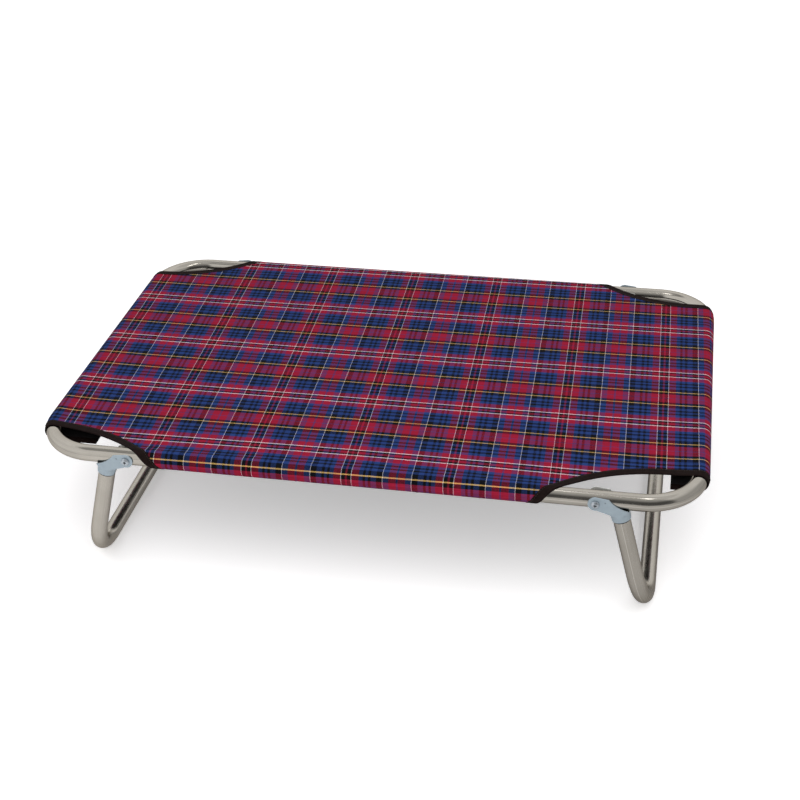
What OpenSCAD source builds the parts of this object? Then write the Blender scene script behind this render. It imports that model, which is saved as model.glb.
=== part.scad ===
// Raised dog cot: a tartan cover stretched over a bent tube frame on two folding tube legs.
// The origin is on the floor under the middle of the cot, X runs along the cot and Z points up.

/* [Frame tube] */
// Overall length over the two end tubes
frame_l = 1000; // [800:1:1200]
// Overall width over the two long rails
frame_w = 665; // [520:1:800]
// Outside diameter of the frame tube
tube_d = 25; // [22:0.5:28]
// Wall of the frame tube
tube_wall = 1.2; // [0.8:0.1:2]
// Bend radius of the frame corners, at the tube's centre line
corner_r = 81; // [60:1:110]

/* [Frame joint] */
// Length of the spigot inside each long rail, where the two frame halves meet
spigot_l = 120; // [90:1:160]
// Wall of the spigot tube
spigot_wall = 1.2; // [0.8:0.1:2]
// Distance of each joint rivet from the meeting line of the halves
joint_rivet_x = 35; // [20:1:40]

/* [Folding legs] */
// Outside diameter of the leg tube
leg_d = 25; // [22:0.5:28]
// Wall of the leg tube
leg_wall = 1.2; // [0.8:0.1:2]
// Distance of the pivot screws from the outer end of the frame
pivot_inset = 155; // [150:1:200]
// Outward lean of an open leg, in degrees
leg_lean = 14; // [8:0.5:20]
// Distance from the pivot to the leg's centre line
leg_offset = 29; // [29:0.5:34]
// Length along the leg from the pivot down to the ground bar's centre line
leg_drop = 216; // [180:1:260]
// Bend radius of the leg corners, at the tube's centre line
leg_bend_r = 82; // [60:1:110]

/* [Hinge plates] */
// Thickness of the pressed plate
plate_t = 1.8; // [1.2:0.1:2.5]
// Radius of the eye round the pivot screw
eye_r = 10.7; // [9:0.1:12]
// Length of the plate's grip on the leg tube
grip_l = 13; // [10:0.5:20]
// Length over which the flat plate turns into the half-round grip
blend_l = 8; // [5:0.5:10]
// Rise of the plate's shoulder above the end of the leg
shoulder_rise = 5.5; // [3:0.5:8]
// Side play between a plate and the rail
plate_play = 0.4; // [0.35:0.05:0.6]
// Radius of the hollow curve along the plate's outboard edge
outboard_curve_r = 45; // [38:1:60]
// Radius of the hollow curve along the plate's inboard edge
inboard_curve_r = 29; // [22:1:40]
// Diameter of the pressed detent dimple
dimple_d = 2.6; // [1.5:0.1:4]

/* [Pivot hardware] */
// Diameter of the pivot screw
screw_d = 6; // [5:0.5:8]
// Diameter of the screw's pan head
head_d = 12; // [10:0.5:14]
// Height of the screw's pan head
head_h = 3.8; // [3:0.1:5]
// Outside diameter of the spacer bush through the rail
bush_d = 9; // [8.5:0.5:12]
// Outside diameter of the washer
washer_d = 12.5; // [11:0.5:16]
// Thickness of the washer
washer_t = 1.6; // [1:0.1:2]
// Width of the lock nut across its flats
nut_af = 10; // [9:0.5:13]
// Height of the lock nut
nut_h = 6; // [5:0.1:8]

/* [Cover] */
// Thickness of the woven cover
cloth_t = 1.2; // [0.8:0.1:2]
// Width of the flap under the left end tube, from the tube's centre line
flap_left = 72; // [40:1:90]
// Width of the flap under the right end tube, from the tube's centre line
flap_right = 41; // [30:1:90]
// Width of the flaps under the long rails, from the tube's centre line
flap_long = 60; // [40:1:90]
// Radius of the corner cut-outs in the flat cover
cut_r = 210; // [180:1:240]
// Front left cut-out: start of the curve, from the end tube's centre line
cut_fl_x = 20; // [0:1:70]
// Front left cut-out: depth from the rail's centre line
cut_fl_y = 46; // [38:1:70]
// Front right cut-out: start of the curve, from the end tube's centre line
cut_fr_x = 55; // [0:1:70]
// Front right cut-out: depth from the rail's centre line
cut_fr_y = 61; // [38:1:70]
// Rear left cut-out: start of the curve, from the end tube's centre line
cut_rl_x = 0; // [0:1:70]
// Rear left cut-out: depth from the rail's centre line
cut_rl_y = 61; // [38:1:70]
// Rear right cut-out: start of the curve, from the end tube's centre line
cut_rr_x = 28; // [0:1:70]
// Rear right cut-out: depth from the rail's centre line
cut_rr_y = 51; // [38:1:70]

/* [Binding and rivets] */
// Finished width of the binding tape on the cut-outs
tape_w = 12.5; // [8:0.5:18]
// Thickness of the binding tape
tape_t = 0.4; // [0.3:0.05:0.6]
// Depth to which the sewn tape presses the cloth, on each side
seam_press = 0.1; // [0.05:0.05:0.3]
// Diameter of the rivet body
rivet_d = 4; // [3:0.1:5]
// Diameter of the rivet's flange
flange_d = 9.5; // [8:0.1:11]
// Height of the rivet's flange
flange_h = 1.2; // [0.8:0.1:1.5]
// Spacing of the cover rivets along a long rail
rail_rivet_pitch = 90; // [65:1:110]
// Spacing of the cover rivets along an end tube
end_rivet_pitch = 150; // [100:1:180]

/* [Fits] */
// Running clearance of a turning hole round its screw, at the radius
running_fit = 0.05; // [0.02:0.01:0.1]
// Clearance of pieces that are assembled and stay still, at the radius
fixed_fit = 0.05; // [0.02:0.01:0.1]
// Gap between faces that pass or stop against each other
face_gap = 0.3; // [0.2:0.05:0.5]

/* [Hidden] */
$fn = 64;

// Reach of the cutters: far for whole regions, over for what only has to pass a face.
far = 60;
over = 1;

tube_r = tube_d / 2;
tube_bore = tube_r - tube_wall;
leg_r = leg_d / 2;
rail_x = frame_l / 2 - tube_r;
rail_y = frame_w / 2 - tube_r;
rail_z = leg_drop * cos(leg_lean) - leg_offset * sin(leg_lean) + leg_r;
pivot_x = frame_l / 2 - pivot_inset;
spigot_r = tube_bore - fixed_fit;
spigot_bore = spigot_r - spigot_wall;

// The leg's square end stops against the underside of the rail.
leg_top = ((leg_offset + leg_r) * sin(leg_lean) + tube_r + face_gap) / cos(leg_lean);

// Hinge plates: inner faces, grip and outline.
plate_in = max(tube_r, leg_r) + plate_play;
plate_out = plate_in + plate_t;
grip_in = leg_r + fixed_fit;
grip_out = grip_in + plate_t;
grip_bottom = leg_top + grip_l;
blend_top = leg_top - blend_l / 2;
blend_end = leg_top + blend_l / 2;
shoulder_r = 4;
blend_lap = 0.6;
parting_gap = 1;
ear = [2 * eye_r - 1, eye_r / 3];
grip_left = leg_offset - grip_out;
grip_right = leg_offset + grip_out;
dimple = [0.7 * ear[0], 0];
pivot_hole_r = screw_d / 2 + running_fit;

// Pivot stack, measured from the rail's centre plane.
bush_end = tube_r + face_gap / 2;
head_seat = plate_out + face_gap / 2;
washer_end = head_seat + washer_t;
nut_end = washer_end + nut_h;
screw_tip = 1.5;
recess_w = screw_d / 4;
recess_l = screw_d * 0.85;
recess_deep = head_h * 0.55;

// Cover layers as distances from the tube's centre line.
tape_in = tube_r + face_gap;
cloth_in = tape_in + tape_t + fixed_fit - seam_press;
cloth_out = cloth_in + cloth_t;
tape_out = cloth_out - seam_press + fixed_fit + tape_t;
flange_seat = cloth_out + fixed_fit;
roll_r = (cloth_in + cloth_out) / 2;
flap_spare = 2 * (tape_t + fixed_fit);
bulb_d = rivet_d * 1.4;
bulb_h = rivet_d * 0.8;
rivet_hole_r = rivet_d / 2 + fixed_fit;

SIDES = [-1, 1];
RAIL_RIVETS = [for (s = SIDES, k = [1, 2]) s * k * rail_rivet_pitch];
END_RIVETS = [for (k = [-1:1]) k * end_rivet_pitch];

// Point at distance p_r from p and q_r from q, on the left of the way from p to q.
function meet(p, p_r, q, q_r) =
    let (d = norm(q - p), along = (d * d + p_r * p_r - q_r * q_r) / (2 * d))
    let (across = sqrt(p_r * p_r - along * along), way = (q - p) / d)
    p + along * way + across * [-way[1], way[0]];

// Start and depth of the cut-out at a corner, given the corner's signs.
function cut_start(sx, sy) = sy < 0 ? (sx < 0 ? cut_fl_x : cut_fr_x) : (sx < 0 ? cut_rl_x : cut_rr_x);
function cut_depth(sx, sy) = sy < 0 ? (sx < 0 ? cut_fl_y : cut_fr_y) : (sx < 0 ? cut_rl_y : cut_rr_y);

// Distance of the cut edge from the end tube where the cloth has gone s round the rail.
function cut_reach(sx, sy, s, grow) =
    cut_start(sx, sy) + sqrt(pow(cut_r + grow, 2) - pow(cut_r - cut_depth(sx, sy) - s, 2));

// The same where the cloth has gone half round the rail, which is where the long flap starts.
function flap_start(sx, sy, grow) = cut_reach(sx, sy, PI * roll_r, grow);

// Direction of a vector, with length 1.
function unit(v) = v / norm(v);

// Moves a piece to the rail's height and mirrors it to one of the four corners.
module at_corner(sx, sy) {
    translate([0, 0, rail_z])
        mirror([sx < 0 ? 1 : 0, 0, 0])
            mirror([0, sy < 0 ? 1 : 0, 0])
                children();
}

// Solid bar of radius r along the right half of the frame, from the middle of both long rails.
module frame_bar(r, past) {
    for (s = SIDES) {
        translate([-past, s * rail_y, 0])
            rotate([0, 90, 0])
                cylinder(r = r, h = rail_x - corner_r + past);
        translate([rail_x - corner_r, s * (rail_y - corner_r), 0])
            rotate([0, 0, s < 0 ? -90 : 0])
                rotate_extrude(angle = 90)
                    translate([corner_r, 0])
                        circle(r);
    }
    translate([rail_x, corner_r - rail_y, 0])
        rotate([-90, 0, 0])
            cylinder(r = r, h = 2 * (rail_y - corner_r));
}

// Drilled holes of the right half: pivot bushes, joint rivets and cover rivets.
module frame_holes() {
    for (s = SIDES) {
        translate([pivot_x, s * rail_y, 0])
            rotate([90, 0, 0])
                cylinder(r = bush_d / 2 + fixed_fit, h = 2 * tube_d, center = true);
        translate([joint_rivet_x, s * rail_y, 0])
            rotate([90 * s, 0, 0])
                cylinder(r = rivet_hole_r, h = tube_d);
        for (k = [1, 2])
            translate([k * rail_rivet_pitch, s * rail_y, -tube_d])
                cylinder(r = rivet_hole_r, h = tube_d);
    }
    for (y = END_RIVETS)
        translate([rail_x, y, -tube_d])
            cylinder(r = rivet_hole_r, h = tube_d);
}

module frame_half(sx) {
    color("silver")
        translate([0, 0, rail_z])
            mirror([sx < 0 ? 1 : 0, 0, 0])
                difference() {
                    frame_bar(tube_r, 0);
                    frame_bar(tube_bore, over);
                    frame_holes();
                }
}

module spigot(sy) {
    color("gainsboro")
        translate([0, sy * rail_y, rail_z])
            difference() {
                rotate([0, 90, 0])
                    cylinder(r = spigot_r, h = spigot_l, center = true);
                rotate([0, 90, 0])
                    cylinder(r = spigot_bore, h = spigot_l + 2 * over, center = true);
                for (s = SIDES)
                    translate([s * joint_rivet_x, 0, 0])
                        rotate([90 * sy, 0, 0])
                            cylinder(r = rivet_hole_r, h = tube_d);
            }
}

// Blind rivet along Z, with its flange seated at z = seat and its set end on a bore of radius bore.
module blind_rivet(seat, bore) {
    bulb_z = sqrt(bore * bore - bulb_d * bulb_d / 4) - fixed_fit;
    rotate_extrude()
        polygon([
            [0, bulb_z - bulb_h], [bulb_d / 3, bulb_z - bulb_h], [bulb_d / 2, bulb_z - bulb_h / 2],
            [bulb_d / 2, bulb_z], [rivet_d / 2, bulb_z], [rivet_d / 2, seat],
            [flange_d / 2, seat], [flange_d / 2, seat + flange_h / 3],
            [flange_d / 3, seat + flange_h], [0, seat + flange_h]
        ]);
}

// Rivets of the frame joint, on the inner side of the rails.
module joint_rivets() {
    color("lightgray")
        for (sx = SIDES, sy = SIDES)
            translate([sx * joint_rivet_x, sy * rail_y, rail_z])
                rotate([90 * sy, 0, 0])
                    blind_rivet(tube_r + fixed_fit, spigot_bore);
}

module pivot_bush(sx, sy) {
    color("whitesmoke")
        at_corner(sx, sy)
            translate([pivot_x, rail_y, 0])
                rotate([90, 0, 0])
                    difference() {
                        cylinder(r = bush_d / 2, h = 2 * bush_end, center = true);
                        cylinder(r = screw_d / 2 + fixed_fit, h = 2 * (bush_end + over), center = true);
                    }
}

// Pan head screw from the outside of the rail, with a cross recess in its head.
module pivot_screw(sx, sy) {
    tip_z = -nut_end - screw_tip;
    chamfer = screw_d / 10;
    color("silver")
        at_corner(sx, sy)
            translate([pivot_x, rail_y, 0])
                rotate([-90, 0, 0])
                    difference() {
                        rotate_extrude()
                            polygon([
                                [0, tip_z], [screw_d / 2 - chamfer, tip_z], [screw_d / 2, tip_z + chamfer],
                                [screw_d / 2, head_seat], [head_d / 2, head_seat],
                                [head_d / 2, head_seat + head_h * 0.45],
                                [head_d * 0.42, head_seat + head_h * 0.8],
                                [head_d * 0.28, head_seat + head_h], [0, head_seat + head_h]
                            ]);
                        for (a = [0, 90])
                            rotate([0, 0, a])
                                translate([-recess_l / 2, -recess_w / 2, head_seat + head_h - recess_deep])
                                    cube([recess_l, recess_w, head_h]);
                    }
}

module pivot_washer(sx, sy) {
    color("silver")
        at_corner(sx, sy)
            translate([pivot_x, rail_y - head_seat, 0])
                rotate([90, 0, 0])
                    difference() {
                        cylinder(d = washer_d, h = washer_t);
                        translate([0, 0, -over])
                            cylinder(r = screw_d / 2 + fixed_fit, h = washer_t + 2 * over);
                    }
}

// Lock nut: a hexagon with a plain round collar for its locking ring.
module pivot_nut(sx, sy) {
    collar_h = nut_h / 4;
    color("silver")
        at_corner(sx, sy)
            translate([pivot_x, rail_y - washer_end, 0])
                rotate([90, 0, 0])
                    difference() {
                        union() {
                            cylinder(d = nut_af / cos(30), h = nut_h - collar_h, $fn = 6);
                            cylinder(d = nut_af * 0.92, h = nut_h);
                        }
                        translate([0, 0, -over])
                            cylinder(r = screw_d / 2 + fixed_fit, h = nut_h + 2 * over);
                    }
}

// Half round of cloth over one side of the frame, at dist from the middle.
module rolled_edge(inner, outer, turn, l, dist) {
    rotate([0, 0, turn])
        translate([-l / 2, dist, 0])
            rotate([0, 90, 0])
                difference() {
                    cylinder(r = outer, h = l);
                    translate([0, 0, -over])
                        cylinder(r = inner, h = l + 2 * over);
                    translate([-far, -2 * far, -over])
                        cube([2 * far, 2 * far, l + 2 * over]);
                }
}

// Uncut cover between two distances from the tube's centre line: deck, rolled edges and flaps.
module cover_layer(inner, outer) {
    t = outer - inner;
    translate([-rail_x, -rail_y, inner])
        cube([2 * rail_x, 2 * rail_y, t]);
    for (s = SIDES) {
        rolled_edge(inner, outer, s > 0 ? 0 : 180, 2 * rail_x, rail_y);
        rolled_edge(inner, outer, s > 0 ? -90 : 90, 2 * rail_y, rail_x);
        flap_from = flap_start(-1, s, 0) - flap_spare;
        flap_to = flap_start(1, s, 0) - flap_spare;
        translate([flap_from - rail_x, s < 0 ? -rail_y : rail_y - flap_long, -outer])
            cube([2 * rail_x - flap_from - flap_to, flap_long, t]);
    }
    translate([-rail_x, -rail_y, -outer])
        cube([flap_left, 2 * rail_y, t]);
    translate([rail_x - flap_right, -rail_y, -outer])
        cube([flap_right, 2 * rail_y, t]);
}

// Space taken out of the cover at one corner, with its edge moved inwards by grow.
module corner_cut(sx, sy, grow) {
    start = cut_start(sx, sy);
    depth = cut_depth(sx, sy);
    end_flap = sx < 0 ? flap_left : flap_right;
    flap_x = flap_start(sx, sy, grow);
    spare_x = flap_start(sx, sy, 0) - 2 * flap_spare;
    mirror([sx > 0 ? 1 : 0, 0, 0])
        mirror([0, sy > 0 ? 1 : 0, 0])
            translate([-rail_x, -rail_y, 0]) {
                // Deck: a straight start along the end, then the curve to the rail.
                linear_extrude(far) {
                    translate([start, depth - cut_r])
                        circle(cut_r + grow);
                    translate([-far, -far])
                        square([start + far, depth + grow + far]);
                }
                // Rolled edge of the rail: the curve goes on round the tube.
                rotate([90, 0, 0])
                    linear_extrude(far)
                        polygon(concat(
                            [[flap_x, -far], [-far, -far], [-far, far], [cut_reach(sx, sy, 0, grow), far]],
                            [for (a = [0:20:180])
                                [cut_reach(sx, sy, PI * roll_r * a / 180, grow), roll_r * cos(a)]]
                        ));
                // Underside: both flaps end square.
                translate([-far, -far, -far])
                    cube([far, depth + grow + far, far]);
                translate([-far, 0, -far])
                    cube([far + end_flap + over, depth + grow, far]);
                translate([0, flap_long + over, 0])
                    rotate([90, 0, 0])
                        linear_extrude(flap_long + over)
                            polygon([[flap_x, -far], [spare_x, -far], [spare_x, 0], [flap_x, 0]]);
            }
}

// Space that the binding presses out of both faces of the cloth, along a cut-out.
module pressed_edge(sx, sy) {
    intersection() {
        difference() {
            cover_layer(cloth_in - over, cloth_out + over);
            cover_layer(cloth_in + seam_press, cloth_out - seam_press);
        }
        corner_cut(sx, sy, tape_w + fixed_fit);
    }
}

module fabric_cover() {
    color("firebrick")
        translate([0, 0, rail_z])
            difference() {
                cover_layer(cloth_in, cloth_out);
                for (sx = SIDES, sy = SIDES) {
                    corner_cut(sx, sy, 0);
                    pressed_edge(sx, sy);
                }
                for (sy = SIDES, x = RAIL_RIVETS)
                    translate([x, sy * rail_y, -far])
                        cylinder(r = rivet_hole_r, h = far);
                for (sx = SIDES, y = END_RIVETS)
                    translate([sx * rail_x, y, -far])
                        cylinder(r = rivet_hole_r, h = far);
            }
}

// Tape folded over the cut edge, above and below the cloth.
module binding(sx, sy) {
    color("black")
        translate([0, 0, rail_z])
            difference() {
                intersection() {
                    cover_layer(tape_in, tape_out);
                    corner_cut(sx, sy, tape_w);
                }
                corner_cut(sx, sy, -tape_t - fixed_fit);
                difference() {
                    cover_layer(tape_in + tape_t, tape_out - tape_t);
                    corner_cut(sx, sy, -fixed_fit);
                }
            }
}

// Cover rivets, driven upwards through a flap into the tube at each place.
module cover_rivets(places) {
    color("lightgray")
        for (p = places)
            translate([p[0], p[1], rail_z])
                rotate([180, 0, 0])
                    blind_rivet(flange_seat, tube_bore);
}

// Puts a leg piece, drawn with its pivot at the origin and the leg upright, on its side of the cot.
module on_leg(sx) {
    translate([0, 0, rail_z])
        mirror([sx < 0 ? 1 : 0, 0, 0])
            translate([pivot_x, 0, 0])
                rotate([0, -leg_lean, 0])
                    children();
}

// Solid bar of radius r along a leg loop, open at the top.
module leg_bar(r, past) {
    for (s = SIDES) {
        translate([leg_offset, s * rail_y, leg_bend_r - leg_drop])
            cylinder(r = r, h = leg_drop - leg_bend_r - leg_top + past);
        translate([leg_offset, s * (rail_y - leg_bend_r), leg_bend_r - leg_drop])
            mirror([0, s < 0 ? 1 : 0, 0])
                rotate([-90, 0, 90])
                    rotate_extrude(angle = 90)
                        translate([leg_bend_r, 0])
                            circle(r);
    }
    translate([leg_offset, leg_bend_r - rail_y, -leg_drop])
        rotate([-90, 0, 0])
            cylinder(r = r, h = 2 * (rail_y - leg_bend_r));
}

module leg(sx) {
    color("silver")
        on_leg(sx)
            difference() {
                leg_bar(leg_r, 0);
                leg_bar(leg_r - leg_wall, over);
            }
}

// Outline of a hinge plate, h thick: the eye at the origin, the grip below on the outboard side.
// Each curve bites a little into the next one, so that every crossing is a clean one.
module plate_outline(h) {
    bite = 0.15;
    inside = 0.8;
    shoulder = [grip_right - shoulder_r, shoulder_rise - leg_top - shoulder_r];
    toe = [grip_left, -blend_end];
    outboard = meet(ear, outboard_curve_r - bite, shoulder, shoulder_r + outboard_curve_r - bite);
    inboard = meet(toe, inboard_curve_r, [0, 0], eye_r + inboard_curve_r - bite);
    brow = atan2(ear[1], ear[0]) + acos(inside * eye_r / norm(ear));
    difference() {
        union() {
            cylinder(r = eye_r, h = h);
            linear_extrude(h)
                polygon([
                    eye_r * [cos(brow), sin(brow)], ear,
                    shoulder + inside * shoulder_r * unit(outboard - shoulder), shoulder,
                    toe + [plate_t, 0], inside * eye_r * unit(inboard)
                ]);
            translate(shoulder)
                cylinder(r = shoulder_r, h = h);
            translate([grip_left, -grip_bottom, 0])
                cube([2 * grip_out, grip_bottom + shoulder[1], h]);
        }
        translate([outboard[0], outboard[1], -over])
            cylinder(r = outboard_curve_r, h = h + 2 * over);
        translate([inboard[0], inboard[1], -over])
            cylinder(r = inboard_curve_r, h = h + 2 * over);
    }
}

// Flat end of the blend: a bar of the plate's width, up to the given distance from the rail's middle.
module blend_flat(half_w, up_to) {
    translate([leg_offset - half_w, 0, -blend_top])
        cube([2 * half_w, up_to, blend_lap]);
}

// Round end of the blend: half of a bar round the leg.
module blend_round(r, below) {
    translate([leg_offset, 0, -blend_end - below])
        rotate_extrude(angle = 180, $fn = 48)
            square([r, blend_lap]);
}

// Shell that turns the flat plate into the half-round grip.
module plate_blend() {
    past = 2 * blend_lap;
    difference() {
        hull() {
            blend_flat(grip_out, plate_out);
            blend_round(grip_out, blend_lap);
        }
        hull() {
            translate([0, -past, past])
                blend_flat(grip_out + past, plate_in + past);
            translate([0, -past, 0])
                blend_round(grip_in, past);
            blend_round(grip_in, past);
        }
    }
}

// Pressed hinge plate on the +Y side of a rail: flat eye and arm, half-round grip on the leg.
module hinge_plate_form() {
    difference() {
        intersection() {
            translate([0, plate_out + over, 0])
                rotate([90, 0, 0])
                    plate_outline(plate_out + over - parting_gap);
            union() {
                translate([-far, plate_in, -blend_top])
                    cube([2 * far, plate_t, far]);
                translate([-far, plate_in, -blend_end])
                    cube([far + grip_left + plate_t, plate_t, far]);
                difference() {
                    union() {
                        plate_blend();
                        translate([leg_offset, 0, -grip_bottom])
                            difference() {
                                cylinder(r = grip_out, h = grip_bottom - blend_end);
                                translate([0, 0, -over])
                                    cylinder(r = grip_in, h = grip_bottom);
                            }
                    }
                    rotate([0, 90 + leg_lean, 0])
                        cylinder(r = tube_r + face_gap, h = 4 * far, center = true);
                }
            }
        }
        translate([0, plate_out + over, 0])
            rotate([90, 0, 0])
                cylinder(r = pivot_hole_r, h = plate_t + 2 * over);
        translate([dimple[0], plate_out + dimple_d / 6, dimple[1]])
            sphere(d = dimple_d);
    }
}

// Hinge plate of one corner, on the outer or the inner side of the rail.
module hinge_plate(sx, sy, outer) {
    color("lightsteelblue")
        on_leg(sx)
            translate([0, sy * rail_y, 0])
                mirror([0, sy * outer < 0 ? 1 : 0, 0])
                    hinge_plate_form();
}

frame_half(-1);  // frame_half_left
frame_half(1);  // frame_half_right
spigot(-1);  // spigot_front
spigot(1);  // spigot_rear
joint_rivets();
pivot_bush(-1, -1);  // pivot_bush_front_left
pivot_bush(1, -1);  // pivot_bush_front_right
pivot_bush(-1, 1);  // pivot_bush_rear_left
pivot_bush(1, 1);  // pivot_bush_rear_right
pivot_screw(-1, -1);  // pivot_screw_front_left
pivot_screw(1, -1);  // pivot_screw_front_right
pivot_screw(-1, 1);  // pivot_screw_rear_left
pivot_screw(1, 1);  // pivot_screw_rear_right
pivot_washer(-1, -1);  // pivot_washer_front_left
pivot_washer(1, -1);  // pivot_washer_front_right
pivot_washer(-1, 1);  // pivot_washer_rear_left
pivot_washer(1, 1);  // pivot_washer_rear_right
pivot_nut(-1, -1);  // pivot_nut_front_left
pivot_nut(1, -1);  // pivot_nut_front_right
pivot_nut(-1, 1);  // pivot_nut_rear_left
pivot_nut(1, 1);  // pivot_nut_rear_right
fabric_cover();
binding(-1, -1);  // binding_front_left
binding(1, -1);  // binding_front_right
binding(-1, 1);  // binding_rear_left
binding(1, 1);  // binding_rear_right
cover_rivets([for (x = RAIL_RIVETS) [x, -rail_y]]);  // cover_rivets_front
cover_rivets([for (x = RAIL_RIVETS) [x, rail_y]]);  // cover_rivets_rear
cover_rivets([for (y = END_RIVETS) [-rail_x, y]]);  // cover_rivets_left
cover_rivets([for (y = END_RIVETS) [rail_x, y]]);  // cover_rivets_right
leg(-1);  // leg_left
hinge_plate(-1, -1, 1);  // hinge_plate_front_left_outer
hinge_plate(-1, -1, -1);  // hinge_plate_front_left_inner
hinge_plate(-1, 1, 1);  // hinge_plate_rear_left_outer
hinge_plate(-1, 1, -1);  // hinge_plate_rear_left_inner
leg(1);  // leg_right
hinge_plate(1, -1, 1);  // hinge_plate_front_right_outer
hinge_plate(1, -1, -1);  // hinge_plate_front_right_inner
hinge_plate(1, 1, 1);  // hinge_plate_rear_right_outer
hinge_plate(1, 1, -1);  // hinge_plate_rear_right_inner
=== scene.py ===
import math

import bmesh
import bpy
import numpy as np
from mathutils import Matrix, Vector
from mathutils.geometry import delaunay_2d_cdt


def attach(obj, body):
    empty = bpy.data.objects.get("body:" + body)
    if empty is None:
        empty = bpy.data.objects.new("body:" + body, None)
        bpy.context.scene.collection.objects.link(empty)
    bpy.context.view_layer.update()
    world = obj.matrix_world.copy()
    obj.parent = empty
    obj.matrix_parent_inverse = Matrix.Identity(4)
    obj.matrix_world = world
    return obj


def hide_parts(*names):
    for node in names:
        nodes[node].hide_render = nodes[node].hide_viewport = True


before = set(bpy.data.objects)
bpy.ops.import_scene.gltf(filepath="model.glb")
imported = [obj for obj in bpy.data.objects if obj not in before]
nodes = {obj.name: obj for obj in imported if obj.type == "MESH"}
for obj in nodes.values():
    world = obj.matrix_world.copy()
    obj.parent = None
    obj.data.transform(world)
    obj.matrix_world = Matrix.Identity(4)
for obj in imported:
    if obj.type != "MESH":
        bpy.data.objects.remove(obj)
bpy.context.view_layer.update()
scene = bpy.context.scene
mm = 0.001

# sizes of the bent frame in mm, as in the solids
ring = {"railX": 487.5, "railY": 320.0, "railZ": 215.06814, "bendR": 81.0, "tubeR": 12.5, "wall": 1.2}
leg = {"pivotX": 345.0, "offset": 29.0, "top": 23.54, "drop": 216.0, "bendR": 82.0,
       "lean": math.radians(14), "inGrip": 13.0}   # inGrip: how much of each end the plates hold


def cornerWords(sideX, sideY):
    return ("front" if sideY < 0 else "rear", "left" if sideX < 0 else "right")


def pieceName(kind, words):
    return kind + "".join(word.capitalize() for word in words)


def newPiece(name, mesh, materials):
    piece = bpy.data.objects.new(name, mesh)
    scene.collection.objects.link(piece)
    if not mesh.materials:
        for mat in materials:
            mesh.materials.append(mat)
    return piece


def shownMesh(piece):
    # the piece as its modifiers show it, as a plain mesh
    graph = bpy.context.evaluated_depsgraph_get()
    shown = piece.evaluated_get(graph)
    return bpy.data.meshes.new_from_object(shown, preserve_all_data_layers=True, depsgraph=graph)


def closeShell(mesh):
    # turns every face of a closed shell outwards
    shell = bmesh.new()
    shell.from_mesh(mesh)
    bmesh.ops.recalc_face_normals(shell, faces=shell.faces)
    shell.to_mesh(mesh)
    shell.free()


# nodes, each given back as the socket that holds its result

def linear(hexText):
    # sRGB hex to the linear colour that shaders want
    channels = [int(hexText[i:i + 2], 16) / 255 for i in (1, 3, 5)]
    return (*[c / 12.92 if c <= 0.04045 else ((c + 0.055) / 1.055) ** 2.4 for c in channels], 1.0)


def addNode(tree, kind, inputs=None, **settings):
    # the node itself: settings first, then each input is a link or a value
    node = tree.nodes.new(kind)
    for name, value in settings.items():
        setattr(node, name, value)
    for key, value in (inputs or {}).items():
        if isinstance(value, bpy.types.NodeSocket):
            tree.links.new(value, node.inputs[key])
        else:
            node.inputs[key].default_value = value
    return node


def mathNode(tree, operation, *values):
    return addNode(tree, "ShaderNodeMath", dict(enumerate(values)), operation=operation).outputs[0]


def rangeNode(tree, value, source=(0.0, 1.0), target=(0.0, 1.0), curve="LINEAR"):
    # moves a value from one range into another, and no further
    ends = {0: value, 1: source[0], 2: source[1], 3: target[0], 4: target[1]}
    return addNode(tree, "ShaderNodeMapRange", ends, interpolation_type=curve).outputs[0]


def mixNode(tree, share, first, second, blend="MIX"):
    colours = {0: share, 6: first, 7: second}
    return addNode(tree, "ShaderNodeMix", colours, data_type="RGBA", blend_type=blend).outputs[2]


def gammaNode(tree, colour, gamma):
    return addNode(tree, "ShaderNodeGamma", {0: colour, 1: gamma}).outputs[0]


def splitNode(tree, vector):
    return addNode(tree, "ShaderNodeSeparateXYZ", {0: vector}).outputs


def stretchNode(tree, where, perMetre):
    return addNode(tree, "ShaderNodeMapping", {0: where, 3: perMetre}).outputs[0]


def noiseNode(tree, where, scale, detail):
    # scale is how many lumps lie in a metre, or 1 on a stretched place
    inputs = {"Vector": where, "Scale": scale, "Detail": detail}
    return addNode(tree, "ShaderNodeTexNoise", inputs).outputs[0]


def bumpNode(tree, height, strength, depth):
    # depth in mm
    inputs = {"Height": height, "Strength": strength, "Distance": depth * mm}
    return addNode(tree, "ShaderNodeBump", inputs).outputs[0]


def rampNode(tree, value, stops, between="LINEAR"):
    # stops are (place, hex colour), first to last
    node = addNode(tree, "ShaderNodeValToRGB", {0: value})
    node.color_ramp.interpolation = between
    elements = node.color_ramp.elements
    elements.remove(elements[-1])
    elements[0].position = stops[0][0]
    elements[0].color = linear(stops[0][1])
    for place, colour in stops[1:]:
        elements.new(place).color = linear(colour)
    return node.outputs[0]


def newMaterial(name):
    mat = bpy.data.materials.new(name)
    mat.use_nodes = True
    mat.node_tree.nodes.clear()
    return mat, mat.node_tree


def closeMaterial(mat, inputs, kind="ShaderNodeBsdfPrincipled"):
    shader = addNode(mat.node_tree, kind, inputs)
    addNode(mat.node_tree, "ShaderNodeOutputMaterial", {"Surface": shader.outputs[0]})
    return mat


# materials

noiseSpan = (0.3, 0.7)   # nearly all of a noise lies in here

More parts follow.
